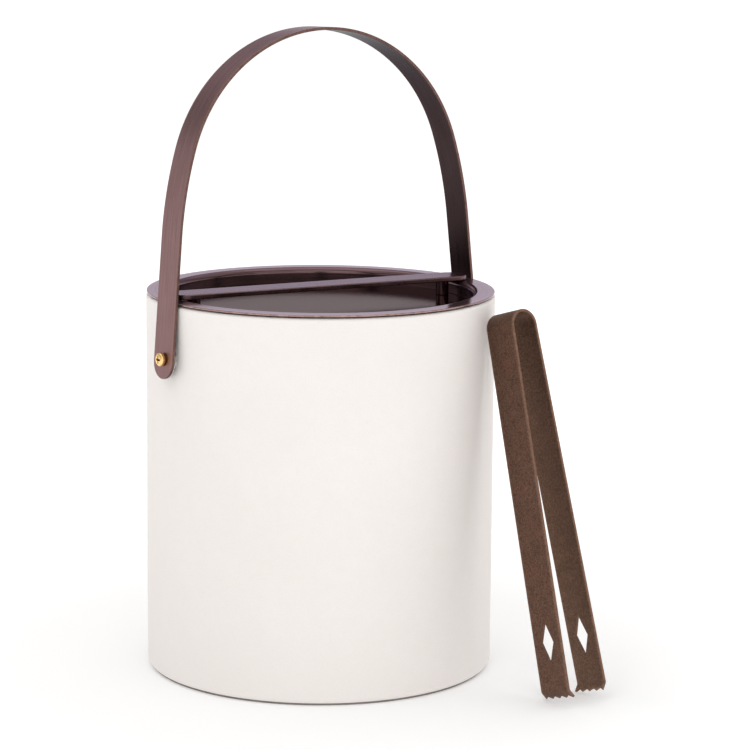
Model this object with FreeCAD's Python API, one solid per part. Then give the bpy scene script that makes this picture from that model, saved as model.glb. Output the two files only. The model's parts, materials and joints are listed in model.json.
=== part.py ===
import FreeCAD, Part
import math
import os

from FreeCAD import Placement, Rotation, Vector

# Ice bucket with a lift-off lid, a bail handle and a pair of tongs leaning on its wall.
# Millimetres. Origin: centre of the base, on the table. +Z up, +X along the handle's pivot axis.

# ---- driving dimensions -------------------------------------------------------------------
# body
body_radius = 89.0
body_height = 194.8            # table to the top of the metal rim
wrap_thickness = 1.2
wrap_bottom_rounding = 2.6
wrap_top_rounding = 1.8
wrap_turn_in = 9.0             # how far the covering is turned under the base
wrap_lip = 4.5                 # how far it is turned over the top of the core
seam_width = 0.5
seam_depth = 0.45
core_wall = 2.8
base_board_thickness = 6.0
board_clearance = 0.1          # base board to the core
pad_thickness = 1.0
pad_edge = 0.4                 # radius of the pad's lower edge
pad_setback = 2.2              # pad's edge inside the wall, which leaves the shadow line

# liner and rim
sheet = 0.9                    # spun steel of the liner
rim_overhang = 0.25            # rim's edge inside the covering's outer face
rim_width = 11.15              # rim's outer edge to the liner's inner wall
rim_roll_radius = 3.0
liner_corner_radius = 9.0
rim_edge = 0.3                 # radius of the rim's outer edges
seal_thickness = 0.7
seal_setback = 1.9
seal_width = 4.0

# insulation
foam_gap = 0.25
foam_below_rim = 5.5
foam_disc_thickness = 9.5      # base board to the liner's floor

# handle pivots
pivot_below_rim = 28.1
screw_radius = 2.0
screw_hole_clearance = 0.15
screw_head_radius = 3.4
screw_head_height = 2.4
screw_head_edge = 0.2
screw_head_crown = 0.55        # crown's corner radius, as a share of the head's height
screw_recess_depth = 1.3
screw_recess_length = 3.8
screw_recess_width = 0.95
washer_radius = 5.0
washer_thickness = 0.8
nut_across_flats = 7.0
nut_height = 2.6
thread_clearance = 0.02
screw_past_nut = 0.6
foam_pocket_radius = 7.5
spacer_radius = 6.4

# handle
strap_width = 17.7
strap_thickness = 1.5
strap_rim_gap = 0.487          # strap's inner face to the rim, at the rim's height
strap_taper = 5.4              # degrees that each arm leans inwards
strap_end_below_pivot = 9.8
arm_straight_height = 60.0
arch_side_extra = 117.5        # arch's side radius, more than half its span
arch_top_less = 5.0            # arch's top radius, less than half its span
handle_lean = -1.7             # degrees about +X, as the handle was left standing
running_clearance = 0.05       # strap's hole round the screw
side_clearance = 0.3           # strap to the screw head and to the spacer

# lid
lid_clearance = 0.5
lid_thickness = 1.2
lid_edge = 0.35
lid_below_rim = 7.5
bar_end_inside_rim = 4.25      # bar's end in from the rim's outer edge
bar_width = 16.6
bar_thickness = 2.5
bar_rest_clearance = 0.3
bar_turn = -5.9                # degrees about +Z, as the lid was put down
standoff_radius = 3.3
standoff_inset = 13.0          # standoff's centre in from the bar's end
lid_screw_radius = 1.5
lid_screw_head_radius = 2.8
lid_screw_head_height = 1.6
lid_screw_head_edge = 0.7
lid_screw_slot_width = 0.8
lid_screw_slot_depth = 0.7
lid_screw_grip = 1.6           # how deep the lid's screws go into the bar
lid_screw_tip_room = 0.2       # blind hole past the screw's end

# tongs
tongs_width_top = 19.8
tongs_width_tip = 20.2
tongs_sheet = 1.3
tongs_bend_radius = 8.1        # outside of the bend
tongs_arm_length = 182.0
tongs_spread = 1.5             # degrees that each arm leans out from the middle
claw_length = 4.6
claw_turn = 38.0               # degrees that the tip is bent inwards
claw_bend_radius = 2.4
notch_count = 4                # notches across the tip, which leave one tooth more
tooth_depth = 1.6
tooth_flat = 0.3
diamond_length = 20.8
diamond_width = 9.0
diamond_above_claw = 24.6      # diamond's centre to the claw's bend, along the arm
tongs_lean = 16.1              # degrees from upright, towards the wall
tongs_heading = 4.8            # degrees about +Z, from one arm to the other
tongs_touch_bearing = -55.6    # degrees about +Z, where the bend meets the wall
tongs_wall_gap = 0.4
tongs_split_gap = 0.3          # between the two halves at the top of the bend
wall_steps = 40                # tries at most to bring the tongs up to the wall

# ---- derived places -----------------------------------------------------------------------
wrap_bottom = pad_thickness
wrap_top = body_height - sheet - seal_thickness
core_radius = body_radius - wrap_thickness
core_inside = core_radius - core_wall
core_bottom = wrap_bottom + wrap_thickness
core_top = wrap_top - wrap_thickness
rim_radius = body_radius - rim_overhang
liner_inside = rim_radius - rim_width
liner_outside = liner_inside + sheet
board_top = core_bottom + base_board_thickness
liner_floor = board_top + foam_disc_thickness
pivot_height = body_height - pivot_below_rim
taper = math.radians(strap_taper)
strap_inner = rim_radius + strap_rim_gap + pivot_below_rim * math.tan(taper)
strap_outer = strap_inner + strap_thickness / math.cos(taper)
lid_top = body_height - lid_below_rim
bar_bottom = body_height + bar_rest_clearance
lid_radius = liner_inside - lid_clearance
bar_length = 2 * (rim_radius - bar_end_inside_rim)
standoff_place = bar_length / 2 - standoff_inset

ORIGIN = Vector(0, 0, 0)
X = Vector(1, 0, 0)
Y = Vector(0, 1, 0)
Z = Vector(0, 0, 1)


# ---- helpers ------------------------------------------------------------------------------
def rounded_wire(corners):
    """Closed wire in the XZ plane through (x, z, radius) corners, each rounded by its radius."""
    count = len(corners)
    starts, ends, arcs = [], [], []
    for i, (x, z, radius) in enumerate(corners):
        here = Vector(x, 0, z)
        before = Vector(corners[i - 1][0], 0, corners[i - 1][1]) - here
        after = Vector(corners[(i + 1) % count][0], 0, corners[(i + 1) % count][1]) - here
        if radius <= 0:
            starts.append(here)
            ends.append(here)
            arcs.append(None)
            continue
        before.normalize()
        after.normalize()
        half = before.getAngle(after) / 2
        reach = radius / math.tan(half)
        middle = before + after
        middle.normalize()
        starts.append(here + before * reach)
        ends.append(here + after * reach)
        arcs.append(here + middle * (radius / math.sin(half) - radius))
    edges = []
    for i in range(count):
        if arcs[i] is not None:
            edges.append(Part.Arc(starts[i], arcs[i], ends[i]).toShape())
        following = starts[(i + 1) % count]
        if (following - ends[i]).Length > 1e-6:
            edges.append(Part.LineSegment(ends[i], following).toShape())
    return Part.Wire(edges)


def turned(corners, centre=ORIGIN, axis=Z):
    """Solid of revolution of a rounded profile, whose x is the distance from the Z axis."""
    solid = Part.Face(rounded_wire(corners)).revolve(ORIGIN, Z, 360)
    solid.Placement = Placement(centre, Rotation(Z, axis)).multiply(solid.Placement)
    return solid


def ring(outer, inner, bottom, top):
    """Plain tube round the Z axis."""
    tube = Part.makeCylinder(outer, top - bottom, Vector(0, 0, bottom), Z)
    if inner > 0:
        tube = tube.cut(Part.makeCylinder(inner, top - bottom, Vector(0, 0, bottom), Z))
    return tube


def rod_x(radius, start, end, height):
    """Cylinder along +X at the given height, from x = start to x = end."""
    return Part.makeCylinder(radius, end - start, Vector(start, 0, height), X)


def other_side(shape):
    """The same piece on the opposite side of the bucket."""
    copy = shape.copy()
    copy.rotate(ORIGIN, Z, 180)
    return copy


def cut_both_pivots(shape, radius, start):
    """Bore through the wall for both pivot screws."""
    bore = rod_x(radius, start, body_radius + 1, pivot_height)
    return shape.cut(bore).cut(other_side(bore))


# ---- bucket body --------------------------------------------------------------------------
def make_wrap():
    """Covering glued round the core: turned over its top edge and under its base."""
    inner = body_radius - wrap_thickness
    covering = turned([
        (body_radius - wrap_turn_in, wrap_bottom, 0),
        (body_radius, wrap_bottom, wrap_bottom_rounding),
        (body_radius, wrap_top, wrap_top_rounding),
        (body_radius - wrap_lip, wrap_top, 0),
        (body_radius - wrap_lip, wrap_top - wrap_thickness, 0),
        (inner, wrap_top - wrap_thickness, wrap_top_rounding - wrap_thickness),
        (inner, wrap_bottom + wrap_thickness, wrap_bottom_rounding - wrap_thickness),
        (body_radius - wrap_turn_in, wrap_bottom + wrap_thickness, 0),
    ])
    seam = Part.makeBox(seam_width, 2 * seam_depth, wrap_top - wrap_bottom,
                        Vector(-seam_width / 2, body_radius - seam_depth, wrap_bottom))
    return cut_both_pivots(covering.cut(seam), screw_radius + screw_hole_clearance, core_inside)


def make_core():
    """Stiff tube that the covering is glued to."""
    corner = max(wrap_bottom_rounding, wrap_top_rounding) - wrap_thickness
    tube = turned([
        (core_inside, core_bottom, 0),
        (core_radius, core_bottom, corner),
        (core_radius, core_top, corner),
        (core_inside, core_top, 0),
    ])
    return cut_both_pivots(tube, screw_radius + screw_hole_clearance, core_inside - 5)


def make_base_board():
    return ring(core_inside - board_clearance, 0, core_bottom, board_top)


def make_base_pad():
    """Base pad with a raised middle that fills the space inside the turned-in covering."""
    return turned([
        (0, 0, 0),
        (body_radius - pad_setback, 0, pad_edge),
        (body_radius - pad_setback, wrap_bottom, 0),
        (body_radius - wrap_turn_in - foam_gap, wrap_bottom, 0),
        (body_radius - wrap_turn_in - foam_gap, core_bottom, 0),
        (0, core_bottom, 0),
    ])


def make_liner():
    """Spun steel bucket with a flat rim that rolls over into its wall."""
    return turned([
        (0, liner_floor, 0),
        (liner_outside, liner_floor, liner_corner_radius),
        (liner_outside, body_height - sheet, rim_roll_radius - sheet),
        (rim_radius, body_height - sheet, rim_edge),
        (rim_radius, body_height, rim_edge),
        (liner_inside, body_height, rim_roll_radius),
        (liner_inside, liner_floor + sheet, liner_corner_radius - sheet),
        (0, liner_floor + sheet, 0),
    ])


def make_rim_seal():
    outer = rim_radius - seal_setback
    return ring(outer, outer - seal_width, wrap_top, body_height - sheet)


def make_foam_sleeve():
    """Foam between the liner and the core, with a pocket at each pivot."""
    sleeve = ring(core_inside - foam_gap, liner_outside + foam_gap,
                  board_top, body_height - foam_below_rim)
    pocket = rod_x(foam_pocket_radius, liner_inside, core_radius, pivot_height)
    return sleeve.cut(pocket).cut(other_side(pocket))


def make_foam_disc():
    return ring(liner_outside - foam_gap, 0, board_top, liner_floor)


# ---- handle pivots ------------------------------------------------------------------------
def pivot_places():
    """Stack of each pivot along +X, worked out from the wall outwards and inwards."""
    rub = math.tan(taper)
    spacer_face = strap_inner - spacer_radius * rub - side_clearance
    head_face = strap_outer + screw_head_radius * rub + side_clearance
    washer_face = math.sqrt(core_inside ** 2 - washer_radius ** 2) - thread_clearance
    nut_face = washer_face - washer_thickness
    return spacer_face, head_face, washer_face, nut_face


def make_pivot_screw():
    """Pan-head screw with a cross recess, from outside the strap to inside the core."""
    _, head_face, _, nut_face = pivot_places()
    head = turned([
        (0, 0, 0),
        (screw_head_radius, 0, screw_head_edge),
        (screw_head_radius, screw_head_height, screw_head_height * screw_head_crown),
        (0, screw_head_height, 0),
    ], Vector(head_face, 0, pivot_height), X)
    shank = rod_x(screw_radius, nut_face - nut_height - screw_past_nut, head_face, pivot_height)
    top = head_face + screw_head_height
    screw = head.fuse(shank)
    for across, along in ((screw_recess_width, screw_recess_length),
                          (screw_recess_length, screw_recess_width)):
        corner = Vector(top - screw_recess_depth, -across / 2, pivot_height - along / 2)
        screw = screw.cut(Part.makeBox(2 * screw_recess_depth, across, along, corner))
    return screw.removeSplitter()


def make_spacer():
    """Clear ring that holds the strap off the wall."""
    spacer_face, _, _, _ = pivot_places()
    start = body_radius + thread_clearance
    bore = screw_radius + screw_hole_clearance
    body = rod_x(spacer_radius, start, spacer_face, pivot_height)
    return body.cut(rod_x(bore, start - 1, spacer_face + 1, pivot_height))


def make_washer():
    _, _, washer_face, nut_face = pivot_places()
    bore = screw_radius + screw_hole_clearance
    disc = rod_x(washer_radius, nut_face, washer_face, pivot_height)
    return disc.cut(rod_x(bore, nut_face - 1, washer_face + 1, pivot_height))


def make_nut():
    """Hexagon nut that clamps the screw inside the core."""
    _, _, _, nut_face = pivot_places()
    corner_radius = nut_across_flats / math.sqrt(3)
    corners = []
    for i in range(7):
        turn = math.radians(60 * i)
        corners.append(Vector(nut_face - nut_height, corner_radius * math.cos(turn),
                              pivot_height + corner_radius * math.sin(turn)))
    hexagon = Part.Face(Part.makePolygon(corners)).extrude(X * nut_height)
    return hexagon.cut(rod_x(screw_radius + thread_clearance, nut_face - nut_height - 1,
                             nut_face + 1, pivot_height))


# ---- handle -------------------------------------------------------------------------------
def arch_line(inward):
    """Half of the strap's line in the XZ plane, from the end of the right arm to the top of the
    arch: a straight arm, a side arc and a tighter top arc, all tangent. inward offsets it."""
    half_span = strap_outer - arm_straight_height * math.tan(taper)
    side_radius = half_span + arch_side_extra
    top_radius = half_span - arch_top_less
    change = math.acos((half_span - side_radius * math.cos(taper)) / (top_radius - side_radius))
    side_centre = Vector(half_span - side_radius * math.cos(taper), 0,
                         arm_straight_height - side_radius * math.sin(taper))
    top_centre = side_centre + Vector(math.cos(change), 0, math.sin(change)) * (side_radius
                                                                                - top_radius)

    def on(centre, radius, angle):
        return centre + Vector(math.cos(angle), 0, math.sin(angle)) * (radius - inward)

    arm_end = Vector(strap_outer + strap_end_below_pivot * math.tan(taper), 0,
                     -strap_end_below_pivot)
    normal = Vector(math.cos(taper), 0, math.sin(taper))
    arm_end = arm_end - normal * inward
    arm_top = on(side_centre, side_radius, taper)
    shoulder = on(side_centre, side_radius, change)
    crown = on(top_centre, top_radius, math.pi / 2)
    return [
        Part.LineSegment(arm_end, arm_top).toShape(),
        Part.Arc(arm_top, on(side_centre, side_radius, (taper + change) / 2),
                 shoulder).toShape(),
        Part.Arc(shoulder, on(top_centre, top_radius, (change + math.pi / 2) / 2),
                 crown).toShape(),
    ], arm_end, crown


def make_strap():
    """Flat strap bent to an arch, with round ends, bored for the pivot screws."""
    outer, outer_end, outer_crown = arch_line(0)
    inner, inner_end, inner_crown = arch_line(strap_thickness)
    closing = [Part.LineSegment(outer_end, inner_end).toShape(),
               Part.LineSegment(outer_crown, inner_crown).toShape()]
    half = Part.Face(Part.Wire(Part.__sortEdges__(outer + inner + closing)))
    half = half.extrude(Y * strap_width)
    half.translate(Vector(0, -strap_width / 2, 0))
    round_centre = -strap_end_below_pivot + strap_width / 2
    reach = 3 * strap_width
    low_end = Part.makeBox(reach, strap_width + 2, reach,
                           Vector(strap_outer - reach / 2, -strap_width / 2 - 1,
                                  round_centre - reach))
    low_end = low_end.cut(rod_x(strap_width / 2, strap_outer - reach, strap_outer + reach,
                                round_centre))
    hole = rod_x(screw_radius + running_clearance, strap_inner - 5, strap_outer + 5, 0)
    half = half.cut(low_end).cut(hole)
    strap = half.fuse(other_side(half)).removeSplitter()
    strap.rotate(ORIGIN, X, handle_lean)
    strap.translate(Vector(0, 0, pivot_height))
    return strap


# ---- lid ----------------------------------------------------------------------------------
def standoff_centres():
    return [Vector(side * standoff_place, 0, 0) for side in (-1, 1)]


def turned_with_lid(shape):
    shape.rotate(ORIGIN, Z, bar_turn)
    return shape


def make_lid_disc():
    disc = turned([
        (0, lid_top - lid_thickness, 0),
        (lid_radius, lid_top - lid_thickness, lid_edge),
        (lid_radius, lid_top, lid_edge),
        (0, lid_top, 0),
    ])
    for centre in standoff_centres():
        base = centre + Z * (lid_top - lid_thickness - 1)
        disc = disc.cut(Part.makeCylinder(lid_screw_radius + screw_hole_clearance,
                                          lid_thickness + 2, base, Z))
    return turned_with_lid(disc)


def make_lid_bar():
    """Flat bar with round ends and two blind holes underneath."""
    radius = bar_width / 2
    straight = bar_length / 2 - radius
    bar = Part.makeBox(2 * straight, bar_width, bar_thickness,
                       Vector(-straight, -radius, bar_bottom))
    for side in (-1, 1):
        bar = bar.fuse(Part.makeCylinder(radius, bar_thickness,
                                         Vector(side * straight, 0, bar_bottom), Z))
    bar = bar.removeSplitter()
    for centre in standoff_centres():
        bar = bar.cut(Part.makeCylinder(lid_screw_radius + thread_clearance,
                                        lid_screw_grip + lid_screw_tip_room, centre + Z * bar_bottom, Z))
    return turned_with_lid(bar)


def make_standoff(side):
    """Spacer tube between the lid's disc and its bar."""
    centre = standoff_centres()[side] + Z * lid_top
    height = bar_bottom - lid_top
    tube = Part.makeCylinder(standoff_radius, height, centre, Z)
    tube = tube.cut(Part.makeCylinder(lid_screw_radius + screw_hole_clearance, height, centre, Z))
    return turned_with_lid(tube)


def make_lid_screws():
    """Screws up through the disc and the standoffs into the bar."""
    screws = []
    for centre in standoff_centres():
        head_bottom = lid_top - lid_thickness - lid_screw_head_height
        head = turned([
            (0, 0, 0),
            (lid_screw_head_radius, 0, lid_screw_head_edge),
            (lid_screw_head_radius, lid_screw_head_height, 0),
            (0, lid_screw_head_height, 0),
        ], centre + Z * head_bottom)
        length = bar_bottom + lid_screw_grip - head_bottom
        shank = Part.makeCylinder(lid_screw_radius, length, centre + Z * head_bottom, Z)
        slot_corner = Vector(-lid_screw_head_radius, -lid_screw_slot_width / 2, head_bottom)
        slot = Part.makeBox(2 * lid_screw_head_radius, lid_screw_slot_width,
                            lid_screw_slot_depth, centre + slot_corner)
        screws.append(head.fuse(shank).removeSplitter().cut(slot))
    return turned_with_lid(Part.makeCompound(screws))


# ---- tongs --------------------------------------------------------------------------------
def arm_directions():
    """Unit vectors along the arm and out of its face, then the same for the claw, in XZ."""
    pairs = []
    for angle in (math.radians(tongs_spread), math.radians(tongs_spread - claw_turn)):
        pairs.append(Vector(math.sin(angle), 0, -math.cos(angle)))
        pairs.append(Vector(math.cos(angle), 0, math.sin(angle)))
    return pairs


def arm_side(radius, depth):
    """Corners of one side of the strip, depth below its outer face: the top of the bend, the
    bend itself, the knee above the claw and the claw's tip."""
    down, out, claw_down, claw_out = arm_directions()
    spread = math.radians(tongs_spread)
    bend_x = radius * (math.cos(spread) - math.tan(spread) * (1 - math.sin(spread)))
    knee_shift = depth * math.tan(math.radians(claw_turn) / 2)
    outer_knee = out * tongs_bend_radius + down * tongs_arm_length
    knee = outer_knee - out * depth - down * knee_shift
    tip = outer_knee + claw_down * claw_length - claw_out * depth
    return [
        (0, radius, 0),
        (bend_x, radius, radius),
        (knee.x, knee.z, claw_bend_radius - depth),
        (tip.x, tip.z, 0),
    ], outer_knee, tip


def prism(points, along):
    """Solid made by moving a flat polygon by the vector along, centred on the polygon."""
    solid = Part.Face(Part.makePolygon(points + points[:1])).extrude(along)
    solid.translate(along * -0.5)
    return solid


def make_tongs_arm():
    """Arm with half of the bend, its claw, teeth and diamond, before it is placed."""
    down, out, claw_down, claw_out = arm_directions()
    outer, knee, outer_tip = arm_side(tongs_bend_radius, 0)
    inner, _, inner_tip = arm_side(tongs_bend_radius - tongs_sheet, tongs_sheet)
    arm = Part.Face(rounded_wire(outer + inner[::-1])).extrude(Y * (2 * tongs_width_tip))
    arm.translate(Y * -tongs_width_tip)

    top_half = tongs_width_top / 2
    tip_half = tongs_width_tip / 2
    arm = arm.common(prism([
        Vector(0, -top_half, tongs_bend_radius),
        Vector(0, top_half, tongs_bend_radius),
        Vector(0, tip_half, outer_tip.z - tongs_sheet),
        Vector(0, -tip_half, outer_tip.z - tongs_sheet),
    ], X * tongs_arm_length))
    arm = arm.cut(Part.makeBox(tongs_split_gap, 2 * tongs_width_tip, 2 * tongs_sheet,
                               Vector(-tongs_split_gap / 2, -tongs_width_tip,
                                      tongs_bend_radius - 1.5 * tongs_sheet)))

    tip = (outer_tip + inner_tip) * 0.5
    pitch = tongs_width_tip / notch_count
    half_notch = (pitch - tooth_flat) / 2
    for i in range(notch_count):
        middle = tip + Y * ((i + 0.5) * pitch - tip_half)
        arm = arm.cut(prism([
            middle - Y * half_notch,
            middle - claw_down * tooth_depth,
            middle + Y * half_notch,
            middle + Y * half_notch + claw_down,
            middle - Y * half_notch + claw_down,
        ], claw_out * (4 * tongs_sheet)))

    centre = knee - down * diamond_above_claw
    return arm.cut(prism([
        centre - down * (diamond_length / 2),
        centre + Y * (diamond_width / 2),
        centre + down * (diamond_length / 2),
        centre - Y * (diamond_width / 2),
    ], out * (8 * tongs_sheet)))


def place_tongs():
    """Both arms leaning on the wall: the claws stand on the table, and the pair is moved in
    along its bearing until the bend's corner is tongs_wall_gap from the wall."""
    rear = make_tongs_arm()
    front = other_side(rear)
    pose = Rotation(Z, tongs_heading).multiply(Rotation(X, -tongs_lean))
    bearing = math.radians(tongs_touch_bearing)
    inwards = Vector(-math.cos(bearing), -math.sin(bearing), 0)
    corner = pose.multVec(Vector(-tongs_bend_radius, tongs_width_top / 2, 0))
    start = inwards * (-body_radius - tongs_arm_length / 4)
    for arm in (rear, front):
        arm.Placement = Placement(ORIGIN, pose).multiply(arm.Placement)
    lowest = min(vertex.Z for arm in (rear, front) for vertex in arm.Vertexes)
    centre = Vector(start.x - corner.x, start.y - corner.y, -lowest)
    for arm in (rear, front):
        arm.translate(centre)
    wall = ring(body_radius, 0, 0, body_height)
    for _ in range(wall_steps):
        spare = min(arm.distToShape(wall)[0] for arm in (rear, front)) - tongs_wall_gap
        if spare < 0.01:
            break
        centre = centre + inwards * spare
        for arm in (rear, front):
            arm.translate(inwards * spare)
    return (rear, front), centre, pose


# ---- assembly -----------------------------------------------------------------------------
def build():
    nodes = {
        "wrap": make_wrap(),
        "core_tube": make_core(),
        "base_board": make_base_board(),
        "base_pad": make_base_pad(),
        "liner": make_liner(),
        "rim_seal": make_rim_seal(),
        "foam_sleeve": make_foam_sleeve(),
        "foam_disc": make_foam_disc(),
        "handle_strap": make_strap(),
        "lid_disc": make_lid_disc(),
        "lid_bar": make_lid_bar(),
        "lid_standoff_left": make_standoff(0),
        "lid_standoff_right": make_standoff(1),
        "lid_screws": make_lid_screws(),
    }
    for name, make in (("pivot_screw", make_pivot_screw), ("pivot_spacer", make_spacer),
                       ("pivot_washer", make_washer), ("pivot_nut", make_nut)):
        right = make()
        nodes[name + "_right"] = right
        nodes[name + "_left"] = other_side(right)
    (nodes["tongs_rear_arm"], nodes["tongs_front_arm"]), centre, pose = place_tongs()
    hinge = pose.multVec(-Y)
    print("pivot height", round(pivot_height, 3))
    print("tongs bend centre", [round(value, 3) for value in centre])
    print("tongs hinge axis", [round(value, 5) for value in hinge])
    return nodes


os.makedirs("parts", exist_ok=True)
for node, shape in sorted(build().items()):
    if not shape.isValid() or not shape.Solids:
        raise SystemExit("bad solid: " + node)
    if len(shape.Solids) == 1:
        shape = shape.Solids[0]
    print(f"{node:22s} {len(shape.Solids)} solid(s) {shape.Volume / 1000:9.3f} cm3")
    shape.exportStep("parts/" + node + ".step")
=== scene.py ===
# %% [markdown]
# # Ice bucket with a strap handle, a lid and tongs
# This lesson builds the looks of an ice bucket round a finished engineering model. The model is
# loaded first as a fixed frame, and every surface here takes its place from it. All the shapes
# are worked out with numpy as whole arrays of points, so each one is a short formula instead of
# a long list of clicks.

# %% Load the frame
import json
import math

import bmesh
import bpy
import numpy as np
from mathutils import Matrix, Vector


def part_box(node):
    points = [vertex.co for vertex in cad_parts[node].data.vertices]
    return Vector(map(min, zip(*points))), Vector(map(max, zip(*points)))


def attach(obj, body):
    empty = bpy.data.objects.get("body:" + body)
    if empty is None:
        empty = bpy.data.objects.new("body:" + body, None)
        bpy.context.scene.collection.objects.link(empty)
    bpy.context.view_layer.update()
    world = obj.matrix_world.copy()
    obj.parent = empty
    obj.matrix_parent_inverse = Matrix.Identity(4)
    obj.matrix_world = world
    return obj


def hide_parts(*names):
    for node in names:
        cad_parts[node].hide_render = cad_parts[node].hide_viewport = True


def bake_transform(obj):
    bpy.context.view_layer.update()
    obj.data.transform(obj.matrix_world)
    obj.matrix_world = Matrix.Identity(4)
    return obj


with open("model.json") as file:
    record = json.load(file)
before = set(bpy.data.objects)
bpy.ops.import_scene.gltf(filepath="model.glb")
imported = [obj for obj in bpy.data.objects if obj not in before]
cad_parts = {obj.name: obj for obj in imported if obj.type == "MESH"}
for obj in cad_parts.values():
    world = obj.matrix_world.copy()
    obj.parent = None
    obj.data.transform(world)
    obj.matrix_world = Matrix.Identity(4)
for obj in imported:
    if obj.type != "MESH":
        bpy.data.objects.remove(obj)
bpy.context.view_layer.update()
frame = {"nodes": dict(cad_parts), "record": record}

# %% [markdown]
# ## Sizes
# Places come from the frame's boxes and joints. Sizes that a box can't tell, such as the
# thickness of a sheet or the radius of an edge, are named here once. Blender works in metres, so
# millimetres are multiplied by MM.

# %% Sizes of the pieces
MM = 0.001
joints = {joint["name"]: joint for joint in frame["record"]["behaviour"]["joints"]}

wall_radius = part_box("wrap")[1].x
wrap_bottom, wrap_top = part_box("wrap")[0].z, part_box("wrap")[1].z
wrap_thickness = 1.2 * MM
wrap_turn_in = 9.0 * MM
wrap_lip = 4.5 * MM
bottom_rounding, top_rounding = 2.6 * MM, 1.8 * MM
seam_depth, seam_half_width = 0.45 * MM, 0.3 * MM
skin_wave = 0.025 * MM

rim_radius, rim_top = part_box("liner")[1].x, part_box("liner")[1].z
liner_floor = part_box("liner")[0].z
sheet = 0.9 * MM
liner_inside = rim_radius - 11.15 * MM
rim_roll = 3.0 * MM
liner_corner = 9.0 * MM

pivot_height = joints["handle_swing"]["pos_m"][2]
strap_width = 17.7 * MM
strap_thickness = 1.5 * MM
strap_outer = wall_radius + 4.4 * MM
strap_taper = math.radians(5.4)
strap_end = 9.8 * MM
arm_height = 60.0 * MM
arch_side_extra, arch_top_less = 117.5 * MM, 5.0 * MM
handle_lean = math.radians(-1.7)
strap_hole = 2.05 * MM

lid_bottom, lid_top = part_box("lid_disc")[0].z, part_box("lid_disc")[1].z
lid_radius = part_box("lid_disc")[1].x
bar_bottom, bar_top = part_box("lid_bar")[0].z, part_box("lid_bar")[1].z
bar_length = 2 * (rim_radius - 4.25 * MM)
bar_width = 16.6 * MM
lid_turn = math.radians(-5.9)
standoff_radius, standoff_bore = 3.3 * MM, 1.65 * MM
standoff_place = bar_length / 2 - 13.0 * MM

screw_head_radius, screw_head_height = 3.4 * MM, 2.4 * MM
screw_radius = 2.0 * MM
dome_edge, dome_rise = 1.08 * MM, 1.32 * MM
recess_half_width, recess_reach, recess_depth = 0.46 * MM, 1.9 * MM, 1.3 * MM
spacer_radius, spacer_bore = 6.4 * MM, 2.15 * MM

tongs_centre = Vector(joints["tongs_squeeze"]["pos_m"])
tongs_sheet = 1.3 * MM
tongs_bend = 8.1 * MM
tongs_arm = 182.0 * MM
tongs_spread = math.radians(1.5)
top_half, tip_half = 9.9 * MM, 10.1 * MM
claw_length, claw_turn, claw_bend = 4.6 * MM, math.radians(38), 2.4 * MM
tooth_depth = 1.6 * MM
diamond_half_length, diamond_half_width = 10.4 * MM, 4.5 * MM
diamond_above_claw = 24.6 * MM
tongs_lean, tongs_heading = math.radians(16.1), math.radians(4.8)

SIDES = {-1: "left", 1: "right"}
print("wall radius", round(wall_radius, 4), "rim top", round(rim_top, 4), "pivot", pivot_height)

# %% [markdown]
# ## Camera
# A long lens, about 1.5 m away and a little above the lid, keeps the bucket's sides almost
# parallel, as in a catalogue. The camera is aimed with to_track_quat, which turns its -Z axis
# along a direction, and then rolled by half a degree.

# %% Camera
camera_place = Vector((-0.8170, -1.2349, 0.41316))
camera_aim = Vector((0.02335, -0.01545, 0.1502))
camera_roll = math.radians(0.486)

camera = bpy.data.objects.new("camera", bpy.data.cameras.new("camera"))
bpy.context.scene.collection.objects.link(camera)
camera.data.lens = 140.64
camera.data.sensor_width = 36.0
camera.data.clip_start, camera.data.clip_end = 0.05, 30.0
towards = (camera_aim - camera_place).to_track_quat("-Z", "Y").to_matrix()
camera.matrix_world = (Matrix.Translation(camera_place)
                       @ (towards @ Matrix.Rotation(camera_roll, 3, "Z")).to_4x4())
bpy.context.scene.camera = camera
print("camera", round((camera_aim - camera_place).length, 3), "m from its aim")

# %% [markdown]
# ## Helpers for surfaces
# A grid of points is the simplest surface there is: every point joins its neighbours in the next
# row and the next column. Modelling by hand would use extrude and spin. Here one helper turns
# any grid into a mesh, keeps each point's place on the unrolled sheet as its UV map, in metres,
# and merges points that share a place, which closes seams and poles.

# %% Grid to mesh
MERGE = 2e-6


def grid_faces(rows, columns):
    """Quads of a grid, each going to the next row, the next column and back."""
    r, c = np.meshgrid(np.arange(rows - 1), np.arange(columns - 1), indexing="ij")
    corner = r * columns + c
    return np.stack([corner, corner + columns, corner + columns + 1, corner + 1],
                    -1).reshape(-1, 4)


def signed_volume(mesh):
    """Sum over the triangles of corner a times (b cross c), over six: above zero if the faces
    of a closed surface point outwards."""
    mesh.calc_loop_triangles()
    places = np.zeros(len(mesh.vertices) * 3)
    mesh.vertices.foreach_get("co", places)
    corners = np.zeros(len(mesh.loop_triangles) * 3, int)
    mesh.loop_triangles.foreach_get("vertices", corners)
    a, b, c = np.moveaxis(places.reshape(-1, 3)[corners.reshape(-1, 3)], 1, 0)
    return float(np.einsum("ij,ij->i", a, np.cross(b, c)).sum() / 6)


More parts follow.
